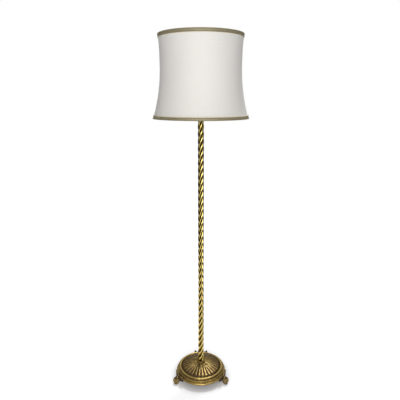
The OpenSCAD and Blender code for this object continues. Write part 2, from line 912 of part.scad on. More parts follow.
module shade_spider() {
    end_r = shade_r(z_top_ring) - fabric_t - 2 * skin_gap - 2 * ring_r - skin_gap;
    z_arm = z_seat + spider_t;
    rise = z_top_ring - z_arm;
    run = end_r - arm_start_r;
    color(gilt)
        union() {
            tube(spider_r, spider_bore_r, z_seat, z_seat + spider_t);
            for (turn = foot_turns)
                rotate([0, 0, turn])
                    translate([arm_start_r, 0, z_arm])
                        rotate([0, atan2(run, rise), 0])
                            cylinder(h = norm([run, rise]), r = arm_r);
        }
}

// A braid round the outside of the fabric
module trim(z0) {
    color(antique_gilt)
        shade_layer(z0, z0 + trim_h, -trim_t, -skin_gap);
}

// ---- Finial ----

module finial_insert() {
    color(gilt) tube(insert_r, stud_r + snug + 0.05, z_finial, z_finial + insert_h);
}

module finial_knob() {
    ball_r = 10;
    z_ball = z_finial + finial_h - ball_r;
    foot = bezier_points([[finial_base_r, z_finial + 3], [finial_base_r - 1, z_finial + 8],
        [insert_r + 1.6, z_finial + 8], [insert_r + 1.4, z_finial + 14]], 8);
    ball = [for (a = [-50 : 10 : 90]) ball_r * [cos(a), sin(a)] + [0, z_ball]];
    color(gilt)
        difference() {
            rotate_extrude()
                polygon(concat([[0, z_finial], [finial_base_r - 1, z_finial],
                    [finial_base_r, z_finial + 1]], foot, ball));
            translate([0, 0, z_finial - 1]) cylinder(h = insert_h + 1 + skin_gap, r = insert_r + snug);
            translate([0, 0, z_finial - 1]) cylinder(h = stud_h + 1, r = stud_r + loose);
        }
}

foot(foot_turns[0]);  // foot_rear
foot(foot_turns[1]);  // foot_front_left
foot(foot_turns[2]);  // foot_front_right
foot_pads();
foot_screws();
plinth_ring();
base_rim();
base_dome();
ballast();
base_plate();
plate_screws();
cord_grommet();
base_washer();
base_nut();
stem_cup();
column_section(0);  // column_lower
column_section(1);  // column_middle
column_section(2);  // column_upper
column_sleeves();
threaded_rod();
column_cap();
top_locknut();
neck_tube();
harp_saddle();
harp();
harp_stud();
ferrule(-1);  // ferrule_left
ferrule(1);  // ferrule_right
socket_cap();
socket_shell();
socket_liner();
socket_body();
screw_shell();
centre_contact();
terminal_screws();
switch_shaft();
switch_knob();
bulb_contact();
bulb_insulator();
bulb_cap();
bulb_glass();
bulb_stem();
shade_fabric();
shade_lining();
frame_ring(z_top_ring);  // shade_top_ring
frame_ring(z_bottom_ring);  // shade_bottom_ring
shade_struts();
shade_spider();
trim(z_shade_top - trim_h);  // trim_top
trim(z_shade_bottom);  // trim_bottom
finial_insert();
finial_knob();
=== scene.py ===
"""The looks of a candlestick floor lamp: a rope-twist gilt column on a round domed base with
three winged paw feet, under a waisted silk shade with braid round both edges.

The lamp stands on the floor with its column on the Z axis, and is seen from -Y. Azimuths are
in degrees from +X. The lamp's lengths are in millimetres and become metres where a mesh is
made. The camera, the lights and the stage are in metres.
"""

import math

import bmesh
import bpy
import numpy as np
from mathutils import Matrix, Vector

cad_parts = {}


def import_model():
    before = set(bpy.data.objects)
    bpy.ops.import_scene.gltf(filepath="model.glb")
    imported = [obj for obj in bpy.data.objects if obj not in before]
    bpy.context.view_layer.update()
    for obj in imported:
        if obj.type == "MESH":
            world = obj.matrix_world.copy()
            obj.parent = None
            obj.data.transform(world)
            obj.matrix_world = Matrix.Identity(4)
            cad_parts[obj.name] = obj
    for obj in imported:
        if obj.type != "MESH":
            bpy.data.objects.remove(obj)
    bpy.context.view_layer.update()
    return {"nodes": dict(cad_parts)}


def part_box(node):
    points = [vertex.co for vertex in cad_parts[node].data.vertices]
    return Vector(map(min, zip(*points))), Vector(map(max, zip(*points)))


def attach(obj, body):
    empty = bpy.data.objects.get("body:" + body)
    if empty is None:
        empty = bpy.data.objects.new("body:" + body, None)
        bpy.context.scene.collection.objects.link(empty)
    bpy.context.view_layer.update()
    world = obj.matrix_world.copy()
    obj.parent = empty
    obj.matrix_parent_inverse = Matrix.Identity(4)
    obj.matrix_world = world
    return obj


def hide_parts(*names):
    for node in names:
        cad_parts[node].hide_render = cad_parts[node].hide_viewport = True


MM = 0.001
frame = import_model()
scene = bpy.context.scene


def span(node, axis):
    """Lowest and highest place of a CAD node along one axis, in millimetres."""
    low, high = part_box(node)
    return low[axis] / MM, high[axis] / MM


# ---------------------------------------------------------------- sizes from the frame

Z_BASE, Z_BAND = span("plinth_ring", 2)
PLINTH_R = span("plinth_ring", 0)[1]
STEP_R = span("base_rim", 0)[1]
Z_RIM_TOP = span("base_rim", 2)[1]
DOME_R = span("base_dome", 0)[1]
Z_DOME_SEAT, Z_DOME_TOP = span("base_dome", 2)
Z_CUP_TOP = span("stem_cup", 2)[1]
CUP_R = span("stem_cup", 0)[1]
PAD_TOP = span("foot_pads", 2)[1]
FOOT_R = span("foot_rear", 1)[1]
Z_COLUMN = span("column_lower", 2)[0]
Z_SHADE_BOTTOM, Z_SHADE_TOP = span("shade_fabric", 2)
FOOT_AZIMUTHS = {"foot_rear": 90, "foot_front_left": 210, "foot_front_right": 330}
FRONT = math.radians(-90)

# sizes that the frame's boxes don't give
ROD_PASS_R = 5.4  # the hole that the rod passes through
BAND_R = 123.5
MOULDING_R = 110.5  # to the middle of the moulding's round
MOULDING_ROUND = 6.0
RIM_BORE_R = 98.0
DOME_FLAT_R = 30.0  # the flat on the dome's top, round the cup
DOME_EDGE_H = 3.0
STRANDS = 4
STRAND_R = 6.2
STRAND_CENTRE = 8.8
CORE_R = 7.8  # the bottom of the grooves between the strands
TWIST_LEAD = 140.8
TWIST_START = 2.8
WAIST_R = 191.0
WAIST_ABOVE_BOTTOM = 236.0
SHADE_TOP_R = 198.0
SHADE_BOTTOM_R = 226.8
TRIM_H = 18.5
FABRIC_T = 1.0
LINING_DEPTH = 4.6  # from the fabric's outer face to the lining's
LINING_T = 0.8


# ---------------------------------------------------------------- mesh helpers

def ease(low, high, x):
    """0 below low, 1 above high, and smooth between."""
    t = np.clip((x - low) / (high - low), 0, 1)
    return t * t * (3 - 2 * t)


def smooth_max(a, b, width):
    """The larger of a and b, with a round corner where they cross."""
    h = np.clip(0.5 + (a - b) / (2 * width), 0, 1)
    return b + (a - b) * h + width * h * (1 - h)


def grid_faces(rows, cols):
    """Quads over a grid of points that runs row by row and closes on itself both ways."""
    rr, cc = np.meshgrid(np.arange(rows), np.arange(cols), indexing="ij")
    below, above = rr * cols, (rr + 1) % rows * cols
    ahead = (cc + 1) % cols
    return np.stack([below + cc, below + ahead, above + ahead, above + cc], -1).reshape(-1, 4)


def add(data, name):
    """Adds an object to the scene."""
    made = bpy.data.objects.new(name, data)
    scene.collection.objects.link(made)
    return made


class Shape:
    """Points, faces and a crest value for each point (0 in a hollow, 1 on a crest), which sets the
    patina and on some pieces also carries painted highlight and painted shade.
    """

    def __init__(self):
        self.points, self.faces, self.crest, self.count = [], [], [], 0

    def add(self, points, faces, crest):
        points = np.asarray(points, float).reshape(-1, 3)
        self.points.append(points)
        self.faces += [[i + self.count for i in face] for face in faces]
        self.crest.append(np.broadcast_to(np.asarray(crest, float).reshape(-1), len(points)))
        self.count += len(points)
        return self

    def make(self, name, body, slot, look, replaces=(), sharp=50):
        """Makes a piece that rides on a body. sharp is the least angle of a hard edge."""
        mesh = bpy.data.meshes.new(name)
        mesh.from_pydata((np.concatenate(self.points) * MM).tolist(), [], self.faces)
        mesh.polygons.foreach_set("use_smooth", np.ones(len(mesh.polygons), bool))
        layer = mesh.attributes.new("crest", "FLOAT", "POINT")
        layer.data.foreach_set("value", np.concatenate(self.crest).astype(np.float32))
        mesh.validate()
        if sharp:
            mesh.set_sharp_from_angle(angle=math.radians(sharp))
        mesh.materials.append(look)
        piece = add(mesh, name)
        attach(piece, body)
        if replaces:
            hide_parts(*replaces)
        return piece


def turned(radius, height, angles):
    """Points from radii and heights (rows) at every angle (columns)."""
    radius, height = np.broadcast_arrays(radius, height)
    return np.stack([radius * np.cos(angles), radius * np.sin(angles),
                     np.broadcast_to(height, radius.shape)], -1)


def angles_round(count):
    """Angles of count even steps all the way round."""
    return np.arange(count) * 2 * math.pi / count


def outward(angles):
    """Level directions away from the axis."""
    return np.stack([np.cos(angles), np.sin(angles), 0 * angles], -1)


def off_nearest(angle, first, count):
    """Angle from the nearest of count evenly spaced places, one of them at first."""
    half = math.pi / count
    return (angle - first + half) % (2 * half) - half


def ring_solid(shape, radius, height, angles, crest):
    """Adds a solid whose closed outline is turned all the way round."""
    radius = np.broadcast_to(radius, (len(radius), len(angles)))
    height = np.broadcast_to(height, radius.shape)
    points = turned(radius, height, angles)
    faces = grid_faces(len(radius), len(angles))[:, ::-1]
    return shape.add(points, faces.tolist(), np.broadcast_to(crest, radius.shape))


def dense(outline, steps):
    """A closed outline with a point at least every step along it; steps can differ by side."""
    outline = np.asarray(outline, float)
    out = []
    steps = np.broadcast_to(steps, len(outline))
    for a, b, step in zip(outline, np.roll(outline, -1, axis=0), steps):
        n = max(1, int(math.ceil(np.linalg.norm(b - a) / step)))
        out += [a + (b - a) * i / n for i in range(n)]
    return np.array(out)


def arc(x, z, radius, start, end, steps):
    """Points of an arc in the outline's plane, from one angle in degrees to another."""
    a = np.radians(np.linspace(start, end, steps + 1))
    return np.stack([x + radius * np.cos(a), z + radius * np.sin(a)], -1)


def sweep(shape, path, radius, sides, reference, flat=1.0):
    """Adds a wire along a closed path. reference is a direction at each point, off the path.

    flat is the wire's thickness along reference as a share of its width.
    """
    ahead = np.roll(path, -1, 0) - np.roll(path, 1, 0)
    ahead /= np.linalg.norm(ahead, axis=1, keepdims=True)
    side = np.cross(ahead, reference)
    side /= np.linalg.norm(side, axis=1, keepdims=True)
    up = np.cross(side, ahead)
    a = angles_round(sides)
    ring = (side[:, None] * np.cos(a)[None, :, None]
            + up[:, None] * (flat * np.sin(a))[None, :, None])
    points = path[:, None] + radius * ring
    return shape.add(points, grid_faces(len(path), sides).tolist(), CORD_CREST)


def bezier(points, count):
    """Points on a cubic curve through its control points."""
    p = np.asarray(points, float)
    t = np.linspace(0, 1, count)[:, None]
    return ((1 - t) ** 3 * p[0] + 3 * (1 - t) ** 2 * t * p[1]
            + 3 * (1 - t) * t ** 2 * p[2] + t ** 3 * p[3])


# ---------------------------------------------------------------- materials

class Tree:
    """A node tree that is built step by step."""

    def __init__(self, owner):
        owner.use_nodes = True
        self.nodes = owner.node_tree.nodes
        self.links = owner.node_tree.links

    def node(self, kind, **settings):
        """A new node with the settings given."""
        node = self.nodes.new(kind)
        for key, value in settings.items():
            setattr(node, key, value)
        return node

    def put(self, socket, value):
        """Sets a socket to a constant, or links it to another socket."""
        if isinstance(value, bpy.types.NodeSocket):
            self.links.new(value, socket)
        else:
            socket.default_value = value

    def math(self, operation, a, b=0.5, clamp=False):
        node = self.node("ShaderNodeMath", operation=operation, use_clamp=clamp)
        self.put(node.inputs[0], a)
        self.put(node.inputs[1], b)
        return node.outputs["Value"]

    def seen_rays(self):
        """1 for camera, glossy and transmitted rays, and 0 for those that light other things."""
        path = self.node("ShaderNodeLightPath")
        rays = self.math("MAXIMUM", path.outputs["Is Camera Ray"], path.outputs["Is Glossy Ray"])
        return self.math("MAXIMUM", rays, path.outputs["Is Transmission Ray"])


class Look(Tree):
    """A node material."""

    def __init__(self, name):
        self.material = bpy.data.materials.new(name)
        super().__init__(self.material)
        self.shader = self.nodes["Principled BSDF"]
        self.place = self.node("ShaderNodeTexCoord").outputs["Object"]

    def set(self, **values):
        """Puts values into the shader's inputs, named with underscores for spaces."""
        for key, value in values.items():
            self.put(self.shader.inputs[key.replace("_", " ")], value)

    def noise(self, size, detail, stretch=(1, 1, 1)):
        """Noise whose blotches are about size millimetres wide."""
        scaled = self.node("ShaderNodeMapping")
        self.put(scaled.inputs["Vector"], self.place)
        scaled.inputs["Scale"].default_value = stretch
        node = self.node("ShaderNodeTexNoise")
        self.put(node.inputs["Vector"], scaled.outputs["Vector"])
        node.inputs["Scale"].default_value = 1 / (size * MM)
        node.inputs["Detail"].default_value = detail
        return node.outputs["Fac"]

    def remap(self, value, low, high, to_low=0.0, to_high=1.0):
        """A value eased from one range to another."""
        node = self.node("ShaderNodeMapRange", interpolation_type="SMOOTHSTEP")
        self.put(node.inputs["Value"], value)
        for key, number in (("From Min", low), ("From Max", high),
                            ("To Min", to_low), ("To Max", to_high)):
            node.inputs[key].default_value = number
        return node.outputs["Result"]

    def mix(self, share, first, second):
        node = self.node("ShaderNodeMix", data_type="RGBA")
        self.put(node.inputs["Factor"], share)
        self.put(node.inputs[6], first)
        self.put(node.inputs[7], second)
        return node.outputs[2]

    def crest(self):
        """The crest value that Shape gives each point."""
        return self.node("ShaderNodeAttribute", attribute_name="crest").outputs["Fac"]

    def bump(self, height, depth, strength):
        """Bump whose full height is depth millimetres."""
        node = self.node("ShaderNodeBump")
        self.put(node.inputs["Height"], height)
        node.inputs["Distance"].default_value = depth * MM
        node.inputs["Strength"].default_value = strength
        self.put(self.shader.inputs["Normal"], node.outputs["Normal"])


def colour(r, g, b):
    """A colour given in 0-255 screen values, as the shader wants it."""
    return tuple(((c / 255 + 0.055) / 1.055) ** 2.4 if c > 10 else c / 255 / 12.92
                 for c in (r, g, b)) + (1.0,)


def gilt(name, bright, middle, dark, roughness, patina, red=0.0, metal=1.0, darker_higher_up=0.0):
    """Gilt brass: bright on the crests, browner between, and dark in the hollows.

    patina is the wear below which the dark is full and the wear above which it is gone.
    red is how strong the reddish blotches are, and metal how metallic the bare crests are.
    The last argument is how much deeper the dark reaches out of the hollows higher up the lamp.
    """
    look = Look(name)
    blotch = look.noise(size=14, detail=3)
    fine = look.noise(size=1.6, detail=4)
    uneven = look.math("MULTIPLY", look.math("SUBTRACT", blotch, 0.5), 0.55)
    worn = look.math("ADD", look.crest(), uneven)
    # darker towards the top of the lamp: the dark reaches further out of the hollows higher up
    if darker_higher_up:
        place = look.node("ShaderNodeSeparateXYZ")
        look.put(place.inputs["Vector"], look.place)
        higher_up_dark = look.remap(place.outputs["Z"], 0.3, 1.2, to_high=darker_higher_up)
        worn = look.math("SUBTRACT", worn, higher_up_dark)
    gold = look.mix(look.remap(worn, 0.45, 0.95), middle, bright)
    if red:
        rust = look.remap(look.noise(size=23, detail=3), 0.52, 0.68, to_high=red)
        gold = look.mix(rust, gold, colour(120, 66, 34))
    dark_share = look.remap(worn, patina[0], patina[1], to_low=1.0, to_high=0.0)
    aged = look.mix(dark_share, gold, dark)
    rough = look.math("ADD", look.remap(worn, 0.1, 0.7, roughness + 0.15, roughness),
                      look.math("MULTIPLY", look.math("SUBTRACT", fine, 0.5), 0.25), clamp=True)
    bare = look.remap(worn, patina[0] - 0.15, patina[1], to_low=0.35, to_high=metal)
    look.set(Base_Color=aged, Metallic=bare, Roughness=rough)
    look.bump(fine, depth=0.12, strength=0.5)
    return look.material


def plain_metal(name, bright, tarnished, roughness):
    """Metal without patina, with faint tarnish and an uneven polish."""
    look = Look(name)
    spot = look.noise(size=12, detail=4)
    fine = look.noise(size=2, detail=3)
    look.set(Base_Color=look.mix(look.remap(spot, 0.35, 0.7), bright, tarnished), Metallic=1.0,
             Roughness=look.remap(fine, 0.3, 0.7, roughness - 0.07, roughness + 0.09))
    look.bump(fine, depth=0.012, strength=0.4)
    return look.material


def dull(name, first, second, roughness, size, depth, detail=4.0, stretch=(1, 1, 1), **extra):
    """A material of two close colours that isn't bare metal, rough or smooth.

    size is the width of its grain and depth the height of it, in millimetres.
    """
    look = Look(name)
    grain = look.noise(size, detail, stretch)
    look.set(Base_Color=look.mix(look.remap(grain, 0.3, 0.7), first, second),
             Roughness=roughness, **extra)
    look.bump(grain, depth, strength=0.6)
    return look.material


def woven(name, first, second, pitch, depth, roughness, **extra):
    """Silk: crossing threads a pitch in millimetres apart, with slubs along the weft."""
    look = Look(name)
    place = look.node("ShaderNodeSeparateXYZ")
    look.put(place.inputs["Vector"], look.place)
    azimuth = look.math("ARCTAN2", place.outputs["Y"], place.outputs["X"])
    warp = look.math("SINE", look.math("MULTIPLY", azimuth, 2 * math.pi * WAIST_R / pitch))
    weft = look.math("SINE", look.math("MULTIPLY", place.outputs["Z"], 2 * math.pi / (pitch * MM)))
    weave = look.math("MULTIPLY", warp, weft)
    slub = look.noise(size=5, detail=3, stretch=(0.15, 0.15, 4.0))
    tone = look.math("ADD", look.math("MULTIPLY", weave, 0.12), slub)
    look.set(Base_Color=look.mix(look.remap(tone, 0.3, 0.75), first, second),
             Roughness=roughness, **extra)
    look.bump(look.math("ADD", weave, slub), depth, strength=0.4)
    return look.material


GILT_COLUMN = gilt("gilt_column", colour(216, 193, 114), colour(150, 126, 56), colour(22, 16, 5),
                   roughness=0.13, patina=(0.18, 0.64), darker_higher_up=0.1)
GILT_DOME = gilt("gilt_dome", colour(172, 148, 90), colour(124, 100, 58), colour(66, 50, 28),
                 roughness=0.36, patina=(0.1, 0.5), red=0.4, metal=0.7)
GILT_BASE = gilt("gilt_base", colour(168, 144, 88), colour(98, 76, 46), colour(34, 24, 16),
                 roughness=0.36, patina=(0.2, 0.65), red=0.4, metal=0.7)
GILT_RING = gilt("gilt_ring", colour(198, 172, 100), colour(146, 119, 62), colour(62, 46, 26),
                 roughness=0.36, patina=(0.0, 0.42), red=0.25, metal=0.7)
BRASS = plain_metal("brass", colour(222, 190, 112), colour(196, 160, 86), roughness=0.24)
STEEL = plain_metal("steel", colour(196, 198, 200), colour(160, 162, 166), roughness=0.32)
ZINC = plain_metal("frame_wire", colour(206, 206, 204), colour(176, 177, 178), roughness=0.4)
CAP_METAL = plain_metal("bulb_metal", colour(214, 214, 212), colour(190, 190, 190),
                        roughness=0.26)
IRON = dull("iron", colour(52, 50, 48), colour(74, 70, 66),
            roughness=0.62, size=1.8, depth=0.25, Metallic=0.6)
PLATE = dull("base_plate", colour(38, 37, 36), colour(56, 54, 52),
             roughness=0.48, size=4.0, depth=0.1, Metallic=0.5)
FELT = dull("felt", colour(44, 38, 32), colour(66, 58, 50),
            roughness=0.95, size=0.9, depth=0.4, detail=6.0)
RUBBER = dull("rubber", colour(26, 26, 26), colour(38, 38, 38),
              roughness=0.6, size=1.2, depth=0.08)
PLASTIC = dull("black_plastic", colour(20, 20, 21), colour(30, 30, 31),
               roughness=0.32, size=0.8, depth=0.05)
PHENOLIC = dull("phenolic", colour(70, 38, 22), colour(96, 56, 32),
                roughness=0.4, size=1.5, depth=0.05)
CARD = dull("card", colour(196, 172, 130), colour(176, 150, 108),
            roughness=0.9, size=1.1, depth=0.12, stretch=(1, 1, 4))
GLASS_BLACK = dull("black_glass", colour(16, 16, 18), colour(24, 24, 26),
                   roughness=0.12, size=3, depth=0.02)
FROSTED = dull("frosted_glass", colour(240, 240, 238), colour(232, 233, 232),
               roughness=0.35, size=6, depth=0.03,
               Transmission_Weight=0.35, IOR=1.45, Coat_Weight=0.3)
SILK = woven("silk", colour(237, 234, 228), colour(233, 230, 224),
             pitch=0.55, depth=0.04, roughness=0.62, Sheen_Weight=0.25, Sheen_Roughness=0.4)
LINING = woven("lining", colour(242, 240, 234), colour(236, 233, 226),
               pitch=0.5, depth=0.04, roughness=0.7)
CORD_GOLD = dull("braid_gold", colour(196, 186, 154), colour(154, 144, 113),
                 roughness=0.55, size=0.7, depth=0.35, stretch=(1, 1, 0.4), Metallic=0.3)
CORD_DARK = dull("braid_dark", colour(146, 136, 109), colour(112, 102, 79),
                 roughness=0.62, size=0.7, depth=0.35, stretch=(1, 1, 0.4), Metallic=0.2)
CORD_CREAM = dull("braid_cream", colour(240, 233, 212), colour(220, 211, 182),
                  roughness=0.6, size=0.7, depth=0.3)


# ---------------------------------------------------------------- column

COLUMN_ANGLES = 96
COLUMN_ROW_H = 2.2
GROOVE_ROUND = 1.2


def strand_reach(off):
    """Radius of the twisted column at an angle from the nearest strand's middle."""
    across = STRAND_R ** 2 - (STRAND_CENTRE * np.sin(off)) ** 2
    strand = np.where(across > 0, STRAND_CENTRE * np.cos(off) + np.sqrt(np.maximum(across, 0)), 0)
    return smooth_max(strand, np.full_like(strand, CORE_R), GROOVE_ROUND)


def column_section(name):
    """One section of the rope twist, bored for the rod."""
    low, high = span(name, 2)
    a = angles_round(COLUMN_ANGLES)
    z = np.linspace(low, high, int((high - low) / COLUMN_ROW_H) + 1)[:, None]
    twist = 2 * math.pi * (z - TWIST_START) / TWIST_LEAD
    outer = strand_reach(off_nearest(a, twist, STRANDS))
    inner = np.full((2, len(a)), ROD_PASS_R)
    radius = np.vstack([outer, inner])
    height = np.vstack([np.broadcast_to(z, outer.shape),
                        np.array([[high], [low]]) * np.ones((2, len(a)))])
    crest = np.clip((radius - CORE_R) / (STRAND_CENTRE + STRAND_R - CORE_R), 0, 1) ** 0.8
    shape = ring_solid(Shape(), radius, height, a, crest)
    shape.make(name + "_twist", "stand", "gilt_column", GILT_COLUMN, [name])


for section in ("column_lower", "column_middle", "column_upper"):
    column_section(section)


# ---------------------------------------------------------------- base: dome

RIBS = 30
LEAVES = 12
RIB_END_R = 102.4
CUP_SEAT_R = 20.5
DOME_CURVE = 0.8
DOME_WALL = 3.6


def dome_height(r):
    """Height of the dome's plain surface at a radius."""
    edge = Z_DOME_SEAT + DOME_EDGE_H
    reach = np.clip((DOME_R - r) / (DOME_R - DOME_FLAT_R), 0, 1)
    return edge + (Z_DOME_TOP - edge) * reach ** DOME_CURVE


def tongue_relief(r, angle, count, first, start, end, share, height):
    """Height of a round of tongues, each a rounded ridge with a round outer end.

    share is how much of the round they take up.
    """
    off = off_nearest(angle, first, count) * r
    half = share * math.pi * r / count
    end_half = share * math.pi * end / count
    past = np.maximum(r - (end - end_half), 0)
    away = np.sqrt(off ** 2 + past ** 2) / np.where(past > 0, end_half, half)
    body = np.maximum(1 - away ** 2, 0) ** 0.5
    return height * body * ease(start, start + 5, r)


def leaf_relief(r, angle, count, first, start, end, height):
    """Height of a round of pointed, fluted leaves."""
    off = off_nearest(angle, first, count) * r
    along = np.clip((r - start) / (end - start), 0, 1)
    half = 0.96 * math.pi / count * r * (1 - along ** 2.4) ** 0.75 + 0.01
    across = off / half
    body = np.maximum(1 - across ** 2, 0) ** 0.55 * (along < 1)
    vein = np.exp(-(off / 0.8) ** 2)
    flutes = 0.5 + 0.5 * np.cos(2 * math.pi * 2.5 * across)
    return body * (height - 1.1 * vein - 0.9 * flutes * (1 - vein))


def dome():
    """The cover with its leaves near the cup, ribs outside them and a fine border."""
    a = angles_round(RIBS * 24)
    r = np.linspace(DOME_R, CUP_SEAT_R, 130)[:, None]
    ribs = tongue_relief(r, a, RIBS, first=FRONT + math.pi / RIBS, start=40, end=RIB_END_R,
                         share=0.92, height=2.6)
    leaves = leaf_relief(r, a, LEAVES, first=FRONT, start=14, end=62, height=4.2)
    border = 1.4 * ease(102.6, 103.2, r) * (1 - ease(103.6, 104.0, r))
    hollow = -1.0 * ease(24, 30, r) * (1 - ease(RIB_END_R, RIB_END_R + 0.4, r))
    relief = np.maximum(np.maximum(ribs, leaves), 0) + border + hollow
    relief = relief * ease(CUP_SEAT_R, CUP_SEAT_R + 2.5, r)
    crest = np.clip(0.1 + (relief + 1.0) / 3.6, 0, 1)
    crest = crest + 0.2 * (1 - ease(30, 64, r)) - 0.12 * ease(60, 75, r)
    outer_z = dome_height(r) + relief
    radius = np.broadcast_to(r, outer_z.shape)
    under = np.array([
        [ROD_PASS_R, Z_DOME_TOP], [ROD_PASS_R, Z_DOME_TOP - 3], [28, Z_DOME_TOP - 3],
        [60, dome_height(60) - DOME_WALL], [88, dome_height(88) - DOME_WALL],
        [DOME_R - 3, Z_DOME_SEAT + DOME_EDGE_H - 1.4], [DOME_R - 3, Z_DOME_SEAT],
        [DOME_R, Z_DOME_SEAT],
    ])
    ones = np.ones((1, len(a)))
    shape = ring_solid(Shape(), np.vstack([radius, under[:, :1] * ones]),
                       np.vstack([outer_z, under[:, 1:] * ones]), a,
                       np.vstack([crest, np.full((len(under), len(a)), 0.3)]))
    shape.make("dome_relief", "stand", "gilt_base", GILT_DOME, ["base_dome"])


dome()


# ---------------------------------------------------------------- base: rim and plinth

OVALS = 28
SEEN_STEP = 0.65
HIDDEN_STEP = 8.0


def rim():
    """The band with its ovals, the step under it and the round moulding above it."""
    a = angles_round(OVALS * 30)
    z_mould = Z_RIM_TOP - MOULDING_ROUND
    band_low, band_mid, band_high = Z_BAND + 3.6, Z_BAND + 7.2, Z_BAND + 10.8
    ledge = Z_BAND + 12
    outline = np.vstack([
        [[RIM_BORE_R, Z_BAND], [RIM_BORE_R + 4, Z_BAND], [RIM_BORE_R + 4, Z_BAND + 8],
         [BAND_R - 4, Z_BAND + 8], [BAND_R - 4, Z_BAND], [STEP_R - 0.8, Z_BAND]],
        arc(STEP_R - 1.5, Z_BAND + 1.5, 1.5, -60, 90, 8),
        [[BAND_R + 0.3, Z_BAND + 3.2], [BAND_R, band_low], [BAND_R, band_high]],
        arc(BAND_R - 1.2, band_high, 1.2, 0, 90, 5),
        [[MOULDING_R + 6.5, ledge], [MOULDING_R + 6.2, ledge + 1]],
        arc(MOULDING_R, z_mould, MOULDING_ROUND, -10, 180, 26),
        [[MOULDING_R - 6.2, Z_DOME_SEAT], [RIM_BORE_R, Z_DOME_SEAT]],
    ])
    steps = np.full(len(outline), SEEN_STEP)
    steps[:5] = steps[-2:] = HIDDEN_STEP
    outline = dense(outline, steps)
    r, z = outline[:, :1], outline[:, 1:]
    off = off_nearest(a, FRONT, OVALS)[None, :] * BAND_R
    bead_at = math.pi / OVALS * BAND_R
    oval_half, oval_half_h, bead_r = 9.2, 3.0, 2.0
    on_band = ease(band_low - 0.2, band_low + 0.3, z) * (r > BAND_R - 1.5)
    on_band = on_band * (1 - ease(band_high - 0.2, band_high + 0.4, z))
    oval = np.hypot(off / oval_half, (z - band_mid) / oval_half_h)
    boss = np.sqrt(np.maximum(1 - (oval / 0.72) ** 2, 0)) * 1.3
    groove = -1.2 * np.exp(-((oval - 0.86) / 0.10) ** 2)
    bead_off = np.hypot((np.abs(off) - bead_at) / bead_r, (z - band_mid) / bead_r)
    bead = np.sqrt(np.maximum(1 - bead_off ** 2, 0)) * 1.2
    relief = on_band * (boss + groove + bead - 0.1)
    quirk = -0.7 * np.exp(-((z - Z_BAND - 3.5) / 0.4) ** 2) * (r > BAND_R - 1)
    radius = r + relief + quirk
    height = np.broadcast_to(z, radius.shape)
    crest = 0.55 + 0.45 * relief + 0.5 * quirk
    on_mould = r < MOULDING_R + 6.3
    # painted highlight on the top of the moulding's round, and painted shade on its side below the
    # top
    painted_lit_top = ease(z_mould + 0.5, z_mould + 5, z) * on_mould
    crest = crest + 0.45 * painted_lit_top - 0.25 * (1 - painted_lit_top) * on_mould * (z > ledge + 0.2)
    valley = (np.abs(r - MOULDING_R - 7) < 2.5) & (np.abs(z - ledge) < 1.6)
    crest = np.where(valley, 0.15, crest)
    shape = ring_solid(Shape(), radius, height, a, np.clip(crest, 0, 1))
    shape.make("rim_relief", "stand", "gilt_base", GILT_RING, ["base_rim"])


def plinth():
    """The plain round ring under the band, with a rebate for the base plate."""
    a = angles_round(512)
    half = (Z_BAND - Z_BASE) / 2
    bore, rebate, shoulder = DOME_R + 1, DOME_R + 8, Z_BASE + 6
    outline = np.vstack([
        [[rebate, Z_BASE], [rebate, shoulder], [bore, shoulder], [bore, Z_BAND]][::-1],
        arc(PLINTH_R - half, Z_BASE + half, half, -90, 90, 24),
    ])
    outline = dense(outline, 3.0)
    r, z = outline[:, :1], outline[:, 1:]
    uneven = 0.06
    wobble = uneven * np.sin(a * 9) * (r > PLINTH_R - 2)
    # painted highlight on the ring's upper half, and painted shade on its lower half
    crest = 0.55 + 0.4 * ease(Z_BASE + half, Z_BAND, z) * np.ones((1, len(a)))
    shape = ring_solid(Shape(), r - uneven + wobble, z, a, crest)
    shape.make("plinth_round", "stand", "gilt_base", GILT_RING, ["plinth_ring"])


rim()
plinth()


# ---------------------------------------------------------------- base: cup

def cup():
    """The low lobed cup that the column stands in."""
    lobes, lobe_depth, lip_drop = 12, 1.8, 1.4
    a = angles_round(lobes * 24)
    z0 = Z_DOME_TOP
    outside = np.vstack([
        [[20, z0], [20, z0 + 1.2]],
        arc(16.4, z0 + 1.0, 1.7, 20, 90, 5),
        [[14.6, z0 + 2.4]],
        bezier([[13.4, z0 + 3], [15, z0 + 3.4], [CUP_R, z0 + 4], [CUP_R, Z_CUP_TOP - 1.4]], 20),
        arc(CUP_R - 1.2, Z_CUP_TOP - 1.2, 1.2, 0, 90, 5),
    ])
    inside = np.vstack([
        bezier([[CUP_R - 2.6, Z_CUP_TOP - 1], [CUP_R - 4, Z_CUP_TOP - 4], [17.5, Z_COLUMN + 2.4],
                [15.5, Z_COLUMN + 1.5]], 10),
        [[15.4, Z_COLUMN], [ROD_PASS_R, Z_COLUMN], [ROD_PASS_R, z0]],
    ])
    outline = dense(np.vstack([outside, inside]), 1.0)
    r, z = outline[:, :1], outline[:, 1:]
    bowl = ease(z0 + 3, z0 + 6, z) * ease(16.5, 18.5, r)
    between = bowl * (1 - np.abs(np.cos(lobes / 2 * a))[None, :] ** 0.8)
    radius = r - lobe_depth * between
    height = z - lip_drop * between * ease(Z_CUP_TOP - 5, Z_CUP_TOP, z)
    # patina between the lobes; the lighter lip is a painted highlight
    crest = 0.7 - 0.6 * between + 0.3 * ease(Z_CUP_TOP - 3, Z_CUP_TOP, z)
    # painted shadow under the bowl and painted shade inside it
    painted_shadow_under_bowl = (z > z0 + 1.8) & (z < z0 + 3.6) & (r < 17)
    painted_shade_in_bowl = (r < 19) & (z > Z_COLUMN + 1)
    crest = crest - 0.5 * painted_shadow_under_bowl - 0.6 * painted_shade_in_bowl
    shape = ring_solid(Shape(), radius, height, a, np.clip(crest, 0, 1))
    shape.make("lobed_cup", "stand", "gilt_base", GILT_RING, ["stem_cup"])


cup()


# ---------------------------------------------------------------- base: feet

